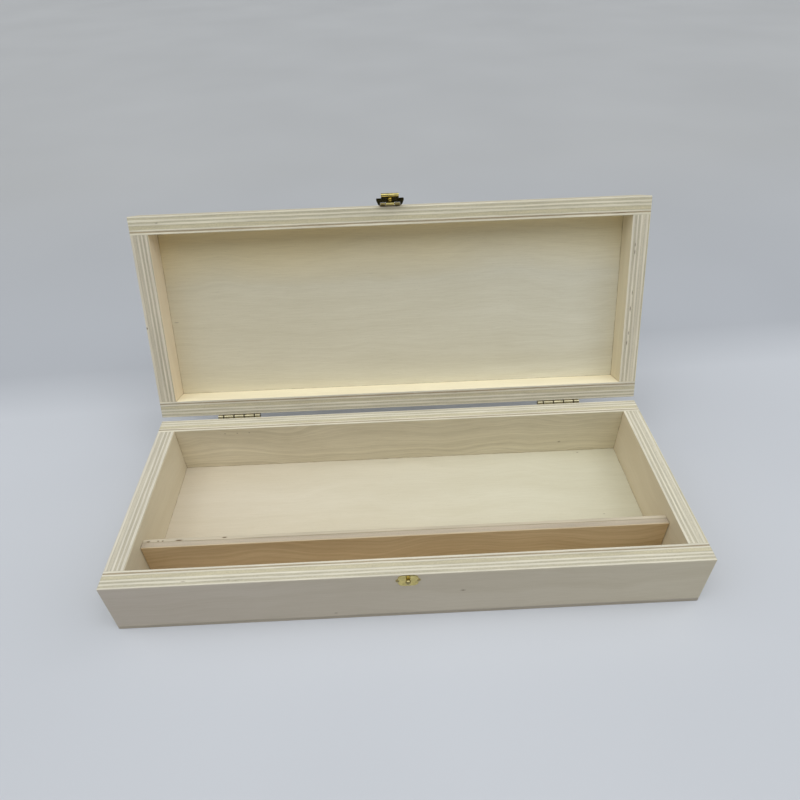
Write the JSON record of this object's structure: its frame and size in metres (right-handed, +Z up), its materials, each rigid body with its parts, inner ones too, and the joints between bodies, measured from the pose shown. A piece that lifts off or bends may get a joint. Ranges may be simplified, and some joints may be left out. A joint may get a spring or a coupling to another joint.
{
  "type": "art supply box",
  "caption": "Hinged plywood box for pencils and brushes: a wide tray, a narrow slot behind a divider, a recessed lid on brass hinges and a small brass snap clasp.",
  "frame": {"origin": "centre of the underside of the base, on the surface that the box stands on", "axes": "+X along the length of the box to the right, -Y towards the front with the clasp, +Z up"},
  "size_m": [0.29, 0.1799, 0.1528],
  "materials": {
    "plywood_wall": "raw sanded poplar plywood with its plies showing on every edge",
    "plywood_panel": "raw sanded thin poplar plywood",
    "divider_ply": "raw plywood strip, slightly browner",
    "hinge_brass": "bright thin sheet brass",
    "hinge_pin": "drawn wire",
    "clasp_brass": "stamped yellow brass, lightly tarnished",
    "brass_nail": "domed brass heads"
  },
  "bodies": {
    "base": {"base_bottom_panel": "plywood_panel", "base_front_wall": "plywood_wall", "base_back_wall": "plywood_wall", "base_left_wall": "plywood_wall", "base_right_wall": "plywood_wall", "divider": "divider_ply", "left_hinge_base_leaf": "hinge_brass", "right_hinge_base_leaf": "hinge_brass", "left_hinge_pin": "hinge_pin", "right_hinge_pin": "hinge_pin", "base_hinge_nails": "brass_nail", "keeper_plate": "clasp_brass", "keeper_stud": "clasp_brass", "keeper_nails": "brass_nail"},
    "lid": {"lid_top_panel": "plywood_panel", "lid_front_wall": "plywood_wall", "lid_back_wall": "plywood_wall", "lid_left_wall": "plywood_wall", "lid_right_wall": "plywood_wall", "left_hinge_lid_leaf": "hinge_brass", "right_hinge_lid_leaf": "hinge_brass", "lid_hinge_nails": "brass_nail", "clasp_plate": "clasp_brass", "clasp_pin": "hinge_pin", "clasp_nails": "brass_nail"},
    "hasp": {"clasp_hasp": "clasp_brass"}
  },
  "joints": [
    {"name": "lid_hinge", "type": "hinge", "parent": "base", "child": "lid", "pos_m": [0, 0.0602, 0.0341], "axis": [1, 0, 0], "range_deg": [0, 110]},
    {"name": "hasp_hinge", "type": "hinge", "parent": "lid", "child": "hasp", "pos_m": [-0.0004, 0.10019, 0.14772], "axis": [1, 0, 0], "range_deg": [-50, 90]}
  ]
}
